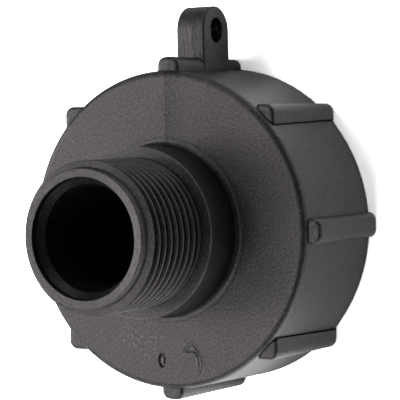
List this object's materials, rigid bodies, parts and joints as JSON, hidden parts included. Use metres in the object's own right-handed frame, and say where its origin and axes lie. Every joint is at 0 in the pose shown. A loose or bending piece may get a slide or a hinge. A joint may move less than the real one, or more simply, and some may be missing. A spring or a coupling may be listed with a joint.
{
  "type": "ibc tap adapter",
  "caption": "Moulded tap adapter: a ribbed collar with a coarse female tank thread and a gasket, a boss, and a spigot for a pipe thread.",
  "frame": {"origin": "centre of the collar's open rim, on the axis of the adapter", "axes": "+Z along the axis from the rim to the tip of the spigot, +Y towards the lanyard lug"},
  "size_m": [0.0774, 0.0894, 0.0624],
  "materials": {
    "body_plastic": "black polypropylene, satin, with fine scuffs",
    "gasket_rubber": "dull black rubber"
  },
  "bodies": {
    "root": {"adapter_body": "body_plastic", "sealing_gasket": "gasket_rubber"}
  },
  "joints": []
}
